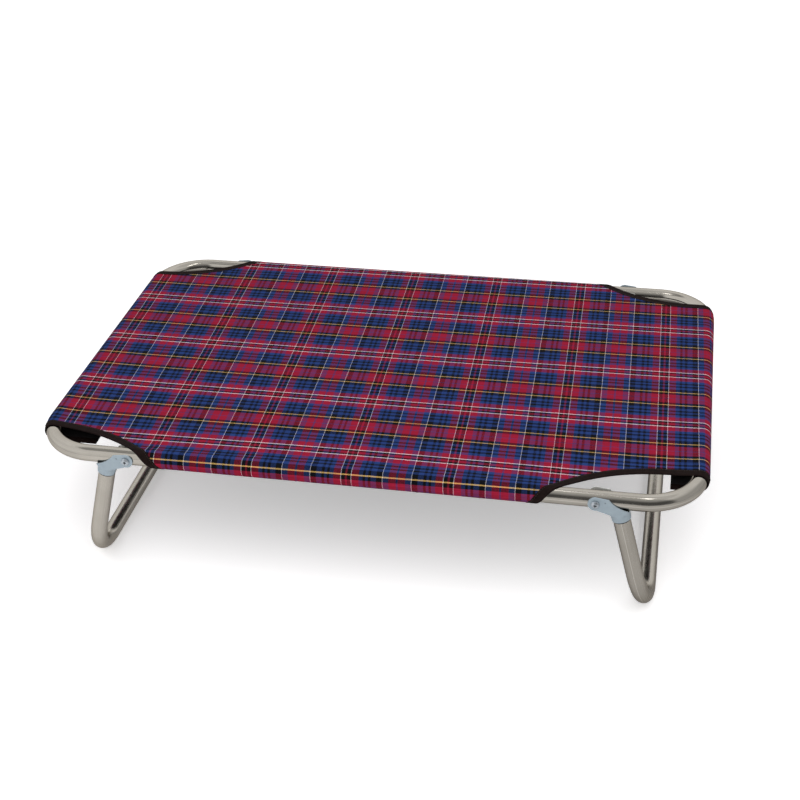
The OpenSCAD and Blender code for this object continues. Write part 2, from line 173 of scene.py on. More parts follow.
# plain-woven polyester: matt yarns, two colours meeting in every crossing, so red on blue reads as purple
yarnColours = {"red": "#9A1D37", "blue": "#283F79", "black": "#0D0E13", "white": "#F7E6EA",
               "pale": "#F0ECF4", "yellow": "#E4B968"}
tartan = {
    "pitch": (0.502, 0.5007),      # mm from yarn to yarn, across the warp and the weft
    "start": (-391.3, -202.9),     # mm, where a thin blue pivot stripe sits on the cloth
    "skew": (0.0237, -0.0085),     # the cloth lies a little off square on its frame
    "warp": [("blue", 3), ("red", 21), ("blue", 17), ("pale", 2), ("black", 17), ("blue", 16),
             ("black", 8), ("blue", 8), ("black", 7), ("blue", 12), ("red", 21), ("pale", 2),
             ("black", 10), ("red", 4)],
    "weft": [("blue", 1), ("red", 23), ("black", 12), ("yellow", 4), ("black", 16), ("blue", 13),
             ("black", 9), ("blue", 9), ("black", 9), ("blue", 12), ("red", 22), ("white", 4),
             ("black", 8), ("red", 5)],
    "weftShare": 0.6,              # the weft shows a little more than the warp
    "mixing": 0.3,                 # how far the upper yarn wins in a crossing
    "depth": 1.75,                 # crossings look darker than the plain mean, as yarns shade each other
    "slubs": (12.0, 450.0, 1.0),   # streaks in a metre, along and across the weft
    "slubShade": (0.84, 1.1),
    "crown": 0.12,                 # mm that a yarn rises in a crossing
}


def tartanMaterial():
    mat, tree = newMaterial("Polyester cloth, plain-woven tartan")
    uv = addNode(tree, "ShaderNodeUVMap", uv_map="flat").outputs[0]
    flat = splitNode(tree, uv)
    colours, places, crowns = [], [], []
    for axis, sett in enumerate((tartan["warp"], tartan["weft"])):
        half = sum(count for _, count in sett)
        pitch, start = tartan["pitch"][axis], tartan["start"][axis]
        across = mathNode(tree, "MULTIPLY_ADD", flat[1 - axis], tartan["skew"][axis], flat[axis])
        yarn = mathNode(tree, "MULTIPLY_ADD", across, 1000 / pitch, -start / pitch)
        whole = mathNode(tree, "FLOOR", yarn)
        middle = mathNode(tree, "ADD", whole, 0.5)
        mirrored = mathNode(tree, "PINGPONG", middle, half)
        stops, place = [], 0
        for colour, count in sett:
            stops.append((place / half, yarnColours[colour]))
            place += count
        colours.append(rampNode(tree, mathNode(tree, "DIVIDE", mirrored, half), stops, "CONSTANT"))
        turn = mathNode(tree, "MULTIPLY", mathNode(tree, "FRACT", yarn), math.pi)
        crowns.append(mathNode(tree, "SINE", turn))
        places.append(whole)
    # 1 where the weft lies over the warp, yarn by yarn
    over = mathNode(tree, "PINGPONG", mathNode(tree, "ADD", *places), 1.0)
    share, mixing = tartan["weftShare"], tartan["mixing"]
    upper = rangeNode(tree, over, target=(share - mixing, share + mixing))
    lifted = [gammaNode(tree, colour, 1 / tartan["depth"]) for colour in colours]
    woven = gammaNode(tree, mixNode(tree, upper, *lifted), tartan["depth"])
    # slubs: faint streaks along the weft, 2 mm thick, so that no block is one flat colour
    slub = noiseNode(tree, stretchNode(tree, uv, tartan["slubs"]), scale=1.0, detail=2.0)
    base = mixNode(tree, 1.0, woven, rangeNode(tree, slub, noiseSpan, tartan["slubShade"]), "MULTIPLY")
    rise = {0: over, 2: crowns[0], 3: crowns[1]}
    height = addNode(tree, "ShaderNodeMix", rise, data_type="FLOAT").outputs[0]
    return closeMaterial(mat, {
        "Base Color": base, "Roughness": 0.8, "IOR": 1.5, "Specular IOR Level": 0.06,
        "Normal": bumpNode(tree, height, strength=0.5, depth=tartan["crown"])})


def coatingMaterial():
    # black PVC coating on the back of the cloth: half gloss with the weave pressed faintly through
    mat, tree = newMaterial("PVC coating, calendered on the back of the cloth")
    uv = addNode(tree, "ShaderNodeUVMap", uv_map="flat").outputs[0]
    grain = noiseNode(tree, uv, scale=900.0, detail=3.0)
    cloud = noiseNode(tree, uv, scale=25.0, detail=4.0)
    return closeMaterial(mat, {
        "Base Color": rampNode(tree, cloud, [(0.3, "#1B191A"), (0.7, "#262324")]),
        "Roughness": rangeNode(tree, cloud, noiseSpan, (0.5, 0.66)), "IOR": 1.53,
        "Normal": bumpNode(tree, grain, strength=0.3, depth=0.1)})


def tapeMaterial():
    # woven polyester tape: fine ribs across its length, a dusty black-brown with no shine
    mat, tree = newMaterial("Polyester binding tape, ribbed weave")
    uv = addNode(tree, "ShaderNodeUVMap", uv_map="flat").outputs[0]
    ribStep = 0.9 * mm
    ribs = mathNode(tree, "SINE", mathNode(tree, "MULTIPLY", splitNode(tree, uv)[0], 2 * math.pi / ribStep))
    dust = noiseNode(tree, uv, scale=160.0, detail=5.0)
    return closeMaterial(mat, {
        "Base Color": rampNode(tree, dust, [(0.3, "#140D0C"), (0.75, "#221816")]),
        "Roughness": 0.85, "IOR": 1.5, "Specular IOR Level": 0.08,
        "Normal": bumpNode(tree, ribs, strength=0.6, depth=0.12)})


def threadMaterial():
    # spun polyester sewing thread: a touch lighter than the tape, twisted
    mat, tree = newMaterial("Polyester sewing thread, twisted")
    where = addNode(tree, "ShaderNodeTexCoord").outputs["Object"]
    twist = noiseNode(tree, where, scale=3000.0, detail=2.0)
    tone = rampNode(tree, twist, [(0.35, "#1C1412"), (0.7, "#34281F")])
    return closeMaterial(mat, {"Base Color": tone, "Roughness": 0.6, "IOR": 1.5})


steel = {
    "lines": (650.0, 650.0, 6.5),   # drawing lines in a metre: 1.5 mm wide and 150 mm long, so that they show
    "seam": (0.3, 0.6),             # mm from the middle of the weld seam to where it fades
    "dirt": (2.2, 2.8),             # mm below the plates' rim, where the painted shade line ends
    "tint": "#C8C4BE", "seamTone": "#D6D1C8", "paintedRimShadeTone": "#1A1816",
}


def steelMaterial(name, roughness, length=0.0, inGrip=0.0):
    # nickel-plated steel tube: a warm grey mirror, softened by faint drawing lines along its length
    mat, tree = newMaterial(name)
    where = addNode(tree, "ShaderNodeAttribute", attribute_name="straight").outputs["Vector"]
    lines = noiseNode(tree, stretchNode(tree, where, steel["lines"]), scale=1.0, detail=3.0)
    handled = noiseNode(tree, where, scale=28.0, detail=5.0)
    spread = mathNode(tree, "ADD", lines, handled)
    tone = rampNode(tree, mathNode(tree, "MULTIPLY", spread, 0.5), [(0.4, "#B0ABA2"), (0.6, "#BAB5AC")])
    # the weld seam, ground flush and a little brighter
    spot = splitNode(tree, where)
    seamEdge = [edge * mm for edge in steel["seam"]]
    band = rangeNode(tree, mathNode(tree, "ABSOLUTE", spot[1]), seamEdge, (1.0, 0.0))
    seam = mathNode(tree, "MULTIPLY", band, mathNode(tree, "GREATER_THAN", spot[0], 0.0))
    colour = mixNode(tree, seam, tone, linear(steel["seamTone"]))
    if inGrip:
        # a dark line, 2.5 mm wide, under the lower rim of the plates: painted shade of the gap there
        fromMiddle = mathNode(tree, "ABSOLUTE", mathNode(tree, "SUBTRACT", spot[2], length / 2))
        fromEnd = mathNode(tree, "SUBTRACT", length / 2, fromMiddle)
        dirt = rangeNode(tree, fromEnd, [inGrip + edge * mm for edge in steel["dirt"]], (1.0, 0.0))
        colour = mixNode(tree, dirt, colour, linear(steel["paintedRimShadeTone"]))
    return closeMaterial(mat, {
        "Base Color": colour, "Metallic": 1.0, "Specular Tint": linear(steel["tint"]),
        "Roughness": rangeNode(tree, spread, (0.7, 1.3), roughness),
        "Normal": bumpNode(tree, lines, strength=0.1, depth=0.05)})


hollowShade = {"reach": 3.0, "samples": 8, "hollow": (0.35, 0.85), "shade": (0.12, 1.0)}   # painted shade in small hollows; reach in mm
downShadeRange = (-0.85, -0.93)   # how far a face has to look down to get the painted shade


def platedMaterial(name, tones, rough, cloudSize, metallic=1.0, edge=None):
    # plated or plain metal of small parts: pale and satin, softly clouded, with painted shade in its hollows
    # and, given an edge colour, on faces that look down
    mat, tree = newMaterial(name)
    where = addNode(tree, "ShaderNodeTexCoord").outputs
    cloud = noiseNode(tree, where["Object"], scale=1000 / cloudSize, detail=5.0)
    grain = noiseNode(tree, where["Object"], scale=2200.0, detail=2.0)
    colour = rampNode(tree, cloud, list(zip(noiseSpan, tones)))
    if edge:
        # faces that look down, mostly the lower edges, get a painted shade in the edge colour
        down = rangeNode(tree, splitNode(tree, where["Normal"])[2], downShadeRange)
        colour = mixNode(tree, down, colour, linear(edge))
    # painted shade in the small hollows, from ambient occlusion: the detent dimple and the recess of the
    # screw
    hollow = addNode(tree, "ShaderNodeAmbientOcclusion", {"Distance": hollowShade["reach"] * mm}, only_local=True,
                     samples=hollowShade["samples"])
    paintedHollowShade = rangeNode(tree, hollow.outputs["AO"], hollowShade["hollow"], hollowShade["shade"])
    return closeMaterial(mat, {
        "Base Color": mixNode(tree, 1.0, colour, paintedHollowShade, "MULTIPLY"), "Metallic": metallic,
        "Roughness": rangeNode(tree, cloud, noiseSpan, rough),
        "Normal": bumpNode(tree, grain, strength=0.15, depth=0.05)})


clothFace, clothBack = tartanMaterial(), coatingMaterial()
tape, thread = tapeMaterial(), threadMaterial()
legStraight, barHalf = leg["drop"] - leg["top"] - leg["bendR"], ring["railY"] - leg["bendR"]
legLength = 2 * (legStraight + barHalf) + math.pi * leg["bendR"]
frameSteel = steelMaterial("Steel frame tube, drawn and nickel plated", (0.1, 0.2))
legSteel = steelMaterial("Steel leg tube, drawn and nickel plated", (0.2, 0.3), legLength * mm,
                         leg["inGrip"] * mm)
# the plates are bluish outside and plain grey inside, the screws and rivets a little shinier
# edge: the colour of the painted shade on faces that look down
pressed = {"rough": (0.52, 0.64), "cloudSize": 9.0, "metallic": 0.6, "edge": "#3C4044"}
zincPlate = platedMaterial("Steel plate, pressed and zinc plated blue", ("#A5B3BD", "#B1BFC7"), **pressed)
zincInner = platedMaterial("Steel plate, pressed and zinc plated clear", ("#BCBDBA", "#C9CAC6"), **pressed)
zincScrew = platedMaterial("Steel screw, cold headed and zinc plated", ("#AEB6BE", "#C2C9CF"),
                           rough=(0.26, 0.36), cloudSize=4.0)
rivetMetal = platedMaterial("Aluminium rivet, plain", ("#B9BABC", "#CACBCC"),
                            rough=(0.3, 0.42), cloudSize=4.0)
print("materials ready")


# node groups that build meshes

def newTree(name, inputs, output):
    # inputs are name and kind; gives back the group and the sockets of what it is given
    tree = bpy.data.node_groups.new(name, "GeometryNodeTree")
    for label, kind in inputs.items():
        tree.interface.new_socket(label, in_out="INPUT", socket_type="NodeSocket" + kind)
    tree.interface.new_socket(output, in_out="OUTPUT", socket_type="NodeSocketGeometry")
    return tree, addNode(tree, "NodeGroupInput").outputs


def keepValue(tree, geometry, kind, value):
    # the geometry with a value kept on it, and that value
    keep = tree.nodes.new("GeometryNodeCaptureAttribute")
    keep.capture_items.new(kind, "Kept")
    tree.links.new(geometry, keep.inputs[0])
    tree.links.new(value, keep.inputs[1])
    return keep.outputs[0], keep.outputs[1]


def closeTree(tree, geometry, material):
    smooth = addNode(tree, "GeometryNodeSetShadeSmooth", {"Geometry": geometry})
    real = addNode(tree, "GeometryNodeRealizeInstances", {"Geometry": smooth.outputs[0]})
    painted = addNode(tree, "GeometryNodeSetMaterial", {"Geometry": real.outputs[0], "Material": material})
    addNode(tree, "NodeGroupOutput", {0: painted.outputs[0]})
    return tree


def runTree(holder, tree, values):
    # sets the inputs by their identifiers, evaluates once and gives back a plain mesh
    modifier = holder.modifiers.new("made", "NODES")
    modifier.node_group = tree
    for item in tree.interface.items_tree:
        if item.in_out == "INPUT" and item.name in values:
            modifier[item.identifier] = values[item.name]
    bpy.context.view_layer.update()
    mesh = shownMesh(holder)
    mesh.materials.clear()   # points bring an empty slot along, so newPiece gives the one material again
    holder.modifiers.remove(modifier)
    bpy.data.objects.remove(holder)
    return mesh


# tubes

tubeMesh = {"sides": 64, "bendSteps": 30, "sharp": math.radians(40)}


def bendPoints(centre, along, across, radius):
    # quarter circle from centre+along to centre+across
    steps = tubeMesh["bendSteps"]
    turns = [math.radians(90 * i / steps) for i in range(steps + 1)]
    return [centre + radius * (math.cos(t) * along + math.sin(t) * across) for t in turns]


def framePath(side):
    x, y, r = ring["railX"], ring["railY"], ring["bendR"]
    ex, ey = Vector((1, 0, 0)), Vector((0, 1, 0))
    points = [Vector((0, -y, 0))]
    points += bendPoints(Vector((x - r, r - y, 0)), -ey, ex, r)
    points += bendPoints(Vector((x - r, y - r, 0)), ex, ey, r)
    points.append(Vector((0, y, 0)))
    return [Vector((side * p.x, p.y, p.z + ring["railZ"])) for p in points]


def legPath(side):
    y, r = ring["railY"], leg["bendR"]
    ey, ez = Vector((0, 1, 0)), Vector((0, 0, 1))
    low = r - leg["drop"]
    points = [Vector((0, -y, -leg["top"]))]
    points += bendPoints(Vector((0, r - y, low)), -ey, -ez, r)
    points += bendPoints(Vector((0, y - r, low)), -ez, ey, r)
    points.append(Vector((0, y, -leg["top"])))
    c, s = math.cos(leg["lean"]), math.sin(leg["lean"])
    return [Vector((side * (leg["pivotX"] + leg["offset"] * c - p.z * s), p.y,
                    ring["railZ"] + leg["offset"] * s + p.z * c)) for p in points]


def tubeTree():
    # sweeps a circle along the path and keeps each point's place on the straight, unbent tube
    inputs = {"Path": "Geometry", "Radius": "Float", "Sides": "Int", "Metal": "Material"}
    tree, given = newTree("tubeAlongPath", inputs, "Tube")
    travel = addNode(tree, "GeometryNodeSplineParameter").outputs["Length"]
    path, length = keepValue(tree, given["Path"], "FLOAT", travel)
    size = {"Resolution": given["Sides"], "Radius": given["Radius"]}
    circle = addNode(tree, "GeometryNodeCurvePrimitiveCircle", size).outputs[0]
    place = addNode(tree, "GeometryNodeInputPosition").outputs[0]
    profile, spot = keepValue(tree, circle, "VECTOR", place)
    sweep = addNode(tree, "GeometryNodeCurveToMesh", {"Curve": path, "Profile Curve": profile})
    x, y, _ = splitNode(tree, spot)
    straight = addNode(tree, "ShaderNodeCombineXYZ", {0: x, 1: y, 2: length})
    stored = addNode(tree, "GeometryNodeStoreNamedAttribute", {
        "Geometry": sweep.outputs[0], "Name": "straight", "Value": straight.outputs[0]},
        data_type="FLOAT_VECTOR", domain="POINT")
    return closeTree(tree, stored.outputs[0], given["Metal"])


sweepTube = tubeTree()


def bentTube(name, points, body, node, metal):
    curve = bpy.data.curves.new(name + "Path", "CURVE")
    curve.dimensions = "3D"
    spline = curve.splines.new("POLY")
    spline.points.add(len(points) - 1)
    for point, place in zip(spline.points, points):
        point.co = (*(place * mm), 1)
    holder = bpy.data.objects.new(name + "Path", curve)
    scene.collection.objects.link(holder)
    values = {"Radius": ring["tubeR"] * mm, "Sides": tubeMesh["sides"], "Metal": metal}
    piece = newPiece(name, runTree(holder, sweepTube, values), [metal])
    wall = piece.modifiers.new("wall", "SOLIDIFY")
    wall.thickness = ring["wall"] * mm
    wall.offset = -1   # inwards
    piece.data = shownMesh(piece)
    piece.modifiers.clear()
    piece.data.set_sharp_from_angle(angle=tubeMesh["sharp"])
    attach(piece, body)
    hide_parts(node)
    return piece


tubes = [bentTube("tubeFrameLeft", framePath(-1), "frame", "frame_half_left", frameSteel),
         bentTube("tubeFrameRight", framePath(1), "frame", "frame_half_right", frameSteel),
         bentTube("tubeLegLeft", legPath(-1), "left_leg", "leg_left", legSteel),
         bentTube("tubeLegRight", legPath(1), "right_leg", "leg_right", legSteel)]
print("tubes bent:", len(tubes))


# cover

cover = {
    "rollR": 13.75,                # mm from the tube's centre line to the middle of the cloth
    "thick": 1.2, "sag": 2.4,      # mm
    "droop": 15.0,                 # mm, about 4 of which show where the front cut-outs' edges hang free
    "droopRise": (60.0, 20.0),     # mm in from the end and the long edge, over which it comes
    "droopFade": (220.0, 100.0),   # and over which it goes
    "turnMost": 0.9,               # share of the frame's bend that the end roll follows
    "flapLeft": 72.0, "flapRight": 41.0, "flapLong": 60.0,
    "cutR": 210.0,
    # mm in from the end and the long rail, where the arc of each cut-out runs straight out to the end
    "cuts": {(-1, -1): (17.0, 46.0), (1, -1): (49.0, 61.0), (-1, 1): (0.0, 61.0), (1, 1): (28.0, 51.0)},
    "cutStep": 3.0, "deckStep": 12.0, "edgeGap": 2.0,   # mm between points: cut edge, deck, one to the other
    "rollSteps": 14, "flapSteps": 6,
}
rollLength = math.pi * cover["rollR"]


def flapLength(axis, side):
    if axis == 1:
        return cover["flapLong"]
    return cover["flapLeft"] if side < 0 else cover["flapRight"]


def foldPoint(a, b, lift=0.0):
    # flat cloth point to its place over the frame: deck, round the tube, then back underneath
    r = cover["rollR"]
    turn = min(max(abs(b) - ring["railY"] + ring["bendR"], 0) / ring["bendR"], cover["turnMost"])
    slant = math.sqrt(1 - turn * turn)
    endReach = ring["railX"] - ring["bendR"] * (1 - slant)
    for axis, reach, wide in ((0, endReach, 1 / slant), (1, ring["railY"], 1.0)):
        value = (a, b)[axis]
        past = abs(value) - reach
        if past > 0:
            side = math.copysign(1, value)
            if past < rollLength:
                out = (r + lift) * wide * math.sin(past / r)
                up = (r + lift) * math.cos(past / r)
            else:
                flap = flapLength(axis, side)
                inset = ring["railX"] - endReach if axis == 0 else 0.0
                out = (rollLength - past) * (flap - inset) / (flap + inset)
                up = -r - lift
            place = side * (reach + out)
            spot = (place, b, up) if axis == 0 else (a, place, up)
            return Vector((spot[0], spot[1], spot[2] + ring["railZ"])) * mm
    dip = cover["sag"] * (1 - (a / ring["railX"]) ** 2) * (1 - (b / ring["railY"]) ** 2)
    if b < 0:
        hang = cover["droop"]
        inwards = (max(endReach - abs(a), 0), ring["railY"] - abs(b))
        for way, rise, fade in zip(inwards, cover["droopRise"], cover["droopFade"]):
            hang *= (1 - math.exp(-way / rise)) * math.exp(-way / fade)
        dip += hang
    return Vector((a, b, ring["railZ"] + r + lift - dip)) * mm


def cutPath(corner):
    # the cut edge in the flat, from the long flap's free edge to the end flap's free edge
    start, depth = cover["cuts"][corner]
    r, step, long = cover["cutR"], cover["cutStep"], cover["flapLong"]
    low = math.asin((r - depth - rollLength) / r)
    swing = math.pi / 2 - low
    run = start + rollLength + flapLength(0, corner[0])
    arcSteps, flapSteps, runSteps = int(r * swing / step), int(long / step), int(run / step)
    turns = [low + swing * i / arcSteps for i in range(arcSteps + 1)]
    arc = [(start + r * math.cos(t), depth - r + r * math.sin(t)) for t in turns]
    first = [(arc[0][0], -rollLength - long * (1 - i / flapSteps)) for i in range(flapSteps)]
    last = [(start - run * i / runSteps, depth) for i in range(1, runSteps + 1)]
    path = first + arc + last
    return [(corner[0] * (ring["railX"] - p), corner[1] * (ring["railY"] - q)) for p, q in path]


def coverOutline():
    paths = {corner: cutPath(corner) for corner in cover["cuts"]}
    return paths[(-1, -1)][::-1] + paths[(1, -1)] + paths[(1, 1)][::-1] + paths[(-1, 1)]


def gridLines(reach, flapLow, flapHigh):
    # cloth lines across one direction: flap, roll and deck
    rollSteps, flapSteps = cover["rollSteps"], cover["flapSteps"]
    roll = [reach + rollLength * i / rollSteps for i in range(rollSteps + 1)]
    deckCount = round(2 * reach / cover["deckStep"])
    lines = [-reach + 2 * reach * i / deckCount for i in range(deckCount + 1)]
    lines += roll[1:] + [-v for v in roll[1:]]
    for sign, flap in ((-1, flapLow), (1, flapHigh)):
        lines += [sign * (roll[-1] + flap * i / flapSteps) for i in range(1, flapSteps)]
    return np.array(sorted(lines))


def clearOf(points, outline, margin):
    # keeps the points that lie inside the outline and off its edge
    starts = np.array(outline)
    ends = np.roll(starts, -1, axis=0)
    inside = np.zeros(len(points), bool)
    near = np.full(len(points), np.inf)
    for p, q in zip(starts, ends):
        crosses = (p[1] > points[:, 1]) != (q[1] > points[:, 1])
        with np.errstate(divide="ignore", invalid="ignore"):
            at = (q[0] - p[0]) * (points[:, 1] - p[1]) / (q[1] - p[1]) + p[0]
        inside ^= crosses & (points[:, 0] < at)
        way = q - p
        t = np.clip(((points - p) @ way) / (way @ way), 0, 1)
        near = np.minimum(near, np.hypot(*(points - p - t[:, None] * way).T))
    return points[inside & (near > margin)]


def flatArea(outline):
    starts = np.array(outline)
    ends = np.roll(starts, -1, axis=0)
    return abs((starts[:, 0] * ends[:, 1] - ends[:, 0] * starts[:, 1]).sum()) / 2


def buildCover():
    outline = coverOutline()
    linesA = gridLines(ring["railX"], cover["flapLeft"], cover["flapRight"])
    linesB = gridLines(ring["railY"], cover["flapLong"], cover["flapLong"])
    grid = np.array([(a, b) for a in linesA for b in linesB])
    inner = clearOf(grid, outline, cover["edgeGap"])
    points = [Vector(p) for p in outline] + [Vector(p) for p in inner]
    count = len(outline)
    edges = [(i, (i + 1) % count) for i in range(count)]
    insideOnly, closest = 1, 1e-4
    flat, _, faces, *_ = delaunay_2d_cdt(points, edges, [list(range(count))], insideOnly, closest)
    half, n = cover["thick"] / 2, len(flat)
    verts = [foldPoint(p.x, p.y, lift) for lift in (half, -half) for p in flat]
    top = [tuple(f) for f in faces]
    bottom = [tuple(i + n for i in reversed(f)) for f in faces]
    sides = [side for f in top for side in zip(f, f[1:] + f[:1])]
    known = set(sides)
    free = [(i, j) for i, j in sides if (j, i) not in known]
    rim = [(j, i, i + n, j + n) for i, j in free]
    mesh = bpy.data.meshes.new("coverCloth")
    mesh.from_pydata(verts, [], top + bottom + rim)
    uv = mesh.uv_layers.new(name="flat")
    for loop in mesh.loops:
        p = flat[loop.vertex_index % n]
        uv.data[loop.index].uv = (p.x * mm, p.y * mm)
    rimPairs = {frozenset((i + k, j + k)) for i, j in free for k in (0, n)}
    for edge in mesh.edges:
        edge.use_edge_sharp = frozenset(edge.vertices) in rimPairs
    for poly in mesh.polygons:
        poly.use_smooth = True
        poly.material_index = 0 if poly.index < len(top) else 1
    mesh.validate()
    piece = newPiece("coverCloth", mesh, [clothFace, clothBack])
    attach(piece, "frame")
    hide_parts("fabric_cover")
    return piece, flatArea(outline)


coverCloth, coverArea = buildCover()
print("cover made, faces:", len(coverCloth.data.polygons), "flat area m2:", round(coverArea * mm * mm, 4))


# binding on the cut-outs

binding = {
    # mm in from the cut edge and off the middle of the cloth
    "section": [(12.5, 0.66), (12.5, 0.98), (11.9, 1.08), (6.0, 1.12), (1.2, 1.14), (0.1, 1.0),
                (-0.6, 0.55), (-0.85, 0.0), (-0.6, -0.5), (0.1, -0.82), (1.2, -0.88), (11.9, -0.86),
                (12.5, -0.8), (12.5, -0.66), (0.3, -0.66), (0.3, 0.66)],
    "stitchIn": 10.3, "stitchStep": 3.4, "stitchLift": 1.1,   # mm: in from the edge, apart, off the cloth
    "stitchLong": 2.5, "stitchWide": 0.6, "stitchHigh": 0.38,
    "stitchSides": 8, "stitchRings": 6,
}


def edgeFrames(path):
    # each point of the cut edge with its way into the cloth, and the length so far
    pts = [Vector(p) for p in path]
    span = 2   # neighbours on each side that set the way along
    frames, length = [], 0.0
    for i, p in enumerate(pts):
        way = (pts[min(i + span, len(pts) - 1)] - pts[max(i - span, 0)]).normalized()
        if i:
            length += (p - pts[i - 1]).length
        frames.append((p, Vector((-way.y, way.x)), length))
    probe, inward, _ = frames[len(frames) // 2]
    if probe.dot(inward) > 0:   # points away from the middle
        frames = [(p, -inward, length) for p, inward, length in frames]
    return frames


def buildBinding(corner):
    frames = edgeFrames(cutPath(corner))
    section = binding["section"]
    k = len(section)
    around = [0.0]
    for (t0, h0), (t1, h1) in zip(section, section[1:] + section[:1]):
        around.append(around[-1] + math.hypot(t1 - t0, h1 - h0))
    verts = [foldPoint(*(p + inward * t), h) for p, inward, _ in frames for t, h in section]
    faces, uvs = [], []
    for i in range(len(frames) - 1):
        here, ahead = frames[i][2], frames[i + 1][2]
        for j in range(k):
            jn = (j + 1) % k
            low, high = around[j], around[j + 1]
            faces.append((i * k + j, i * k + jn, (i + 1) * k + jn, (i + 1) * k + j))
            uvs.append([(here, low), (here, high), (ahead, high), (ahead, low)])
    last = (len(frames) - 1) * k
    for cap in (list(range(k)), [last + j for j in range(k)]):
        faces.append(tuple(cap))
        uvs.append([(0.0, around[j]) for j in range(k)])
    words = cornerWords(*corner)
    name = pieceName("binding", words)
    mesh = bpy.data.meshes.new(name)
    mesh.from_pydata(verts, [], faces)
    layer = mesh.uv_layers.new(name="flat")
    for poly, corners in zip(mesh.polygons, uvs):
        poly.use_smooth = True
        for index, spot in zip(poly.loop_indices, corners):
            layer.data[index].uv = (spot[0] * mm, spot[1] * mm)
    closeShell(mesh)
    piece = newPiece(name, mesh, [tape])
    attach(piece, "frame")
    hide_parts("binding_" + "_".join(words))
    return piece


def stitchTree():
    # one stitch on every point, turned along the row and set on the tape
    inputs = {"Row": "Geometry", "Long": "Float", "Wide": "Float", "High": "Float", "Thread": "Material"}
    tree, given = newTree("stitchRow", inputs, "Stitches")
    size = addNode(tree, "ShaderNodeCombineXYZ", {0: given["Long"], 1: given["Wide"], 2: given["High"]})
    ball = addNode(tree, "GeometryNodeMeshUVSphere", {
        "Segments": binding["stitchSides"], "Rings": binding["stitchRings"], "Radius": 0.5})
    points = addNode(tree, "GeometryNodeMeshToPoints", {"Mesh": given["Row"]})
    up = addNode(tree, "GeometryNodeInputNamedAttribute", {"Name": "up"}, data_type="FLOAT_VECTOR")
    way = addNode(tree, "GeometryNodeInputNamedAttribute", {"Name": "way"}, data_type="FLOAT_VECTOR")
    stand = addNode(tree, "FunctionNodeAlignRotationToVector", {"Vector": up.outputs[0]}, axis="Z")
    turn = addNode(tree, "FunctionNodeAlignRotationToVector", {
        "Rotation": stand.outputs[0], "Vector": way.outputs[0]}, axis="X", pivot_axis="Z")
    placed = addNode(tree, "GeometryNodeInstanceOnPoints", {
        "Points": points.outputs[0], "Instance": ball.outputs[0], "Rotation": turn.outputs[0],
        "Scale": size.outputs[0]})
    return closeTree(tree, placed.outputs[0], given["Thread"])


def stitchPlaces(corner):
    # even steps along a line set in from the cut edge: place, way along and way up
    spots = [p + inward * binding["stitchIn"] for p, inward, _ in edgeFrames(cutPath(corner))]
    lift, step = binding["stitchLift"], binding["stitchStep"]
    carry, places = step / 2, []
    for p, q in zip(spots, spots[1:]):
        gap = (q - p).length
        while carry < gap:
            flat = p.lerp(q, carry / gap)
            ahead = flat + (q - p).normalized()
            here = foldPoint(*flat, lift)
            places.append((here, foldPoint(*ahead, lift) - here, foldPoint(*flat, lift + 1) - here))
            carry += step
        carry -= gap
    return places


def sewBindings():
    rows = [place for corner in cover["cuts"] for place in stitchPlaces(corner)]
    mesh = bpy.data.meshes.new("stitchPoints")
    mesh.from_pydata([place for place, _, _ in rows], [], [])
    for name, column in (("way", 1), ("up", 2)):
        layer = mesh.attributes.new(name, "FLOAT_VECTOR", "POINT")
        layer.data.foreach_set("vector", [c for row in rows for c in row[column].normalized()])
    holder = bpy.data.objects.new("stitchPoints", mesh)
    scene.collection.objects.link(holder)
    made = runTree(holder, stitchTree(), {
        "Long": binding["stitchLong"] * mm, "Wide": binding["stitchWide"] * mm,
        "High": binding["stitchHigh"] * mm, "Thread": thread})
    piece = newPiece("bindingStitches", made, [thread])
    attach(piece, "frame")
    return piece, len(rows)


bindings = [buildBinding(corner) for corner in cover["cuts"]]
stitches, stitchCount = sewBindings()
print("bindings sewn with stitches:", stitchCount, "faces:", len(stitches.data.polygons))


# hinge plates: the pressed solids, with the lower edge of the arm swept into the grip

plate = {   # mm, and from the pivot where it is a place
    "gripR": 14.35,                    # radius of the grip round the leg
    "outside": 14.7,                   # outer face from the rail's middle
    "blend": (19.54, 28.14),           # below the pivot, from the flat plate to the round grip
    "sweep": ((2.9, -13.2), (9.5, -16.6), (14.62, -20.2)),   # the lower edge, along and up
    "cutTo": (18.0, -29.0),            # how far the cut goes, along and up
    "cutThrough": (11.0, 16.5),        # and through the plate, from the rail's middle
    "turnFrom": -1.0, "turnHigh": 3.0,   # what is spared starts inside the rail and above the blend
    "skin": 0.03,                      # stays on the grip
    "sweepSteps": 8, "gripSteps": 48,
    "weld": 0.001, "sharp": math.radians(30),
}


def plateSpot(corner, along, out, up):
    # a point of a plate, in mm from its pivot, as a place in the scene
    sideX, sideY, face = corner
    c, s = math.cos(leg["lean"]), math.sin(leg["lean"])
    return Vector((sideX * (leg["pivotX"] + along * c - up * s), sideY * (ring["railY"] + face * out),
                   ring["railZ"] + along * s + up * c)) * mm


def cutAway(mesh, tool):
    # the mesh less the tool, both closed shells
    holder, cutter = newPiece("cutBody", mesh, []), newPiece("cutTool", tool, [])
    cut = holder.modifiers.new("cut", "BOOLEAN")
    cut.operation, cut.solver, cut.object = "DIFFERENCE", "EXACT", cutter
    result = shownMesh(holder)
    for used in (holder, cutter):
        bpy.data.objects.remove(used)
    return result


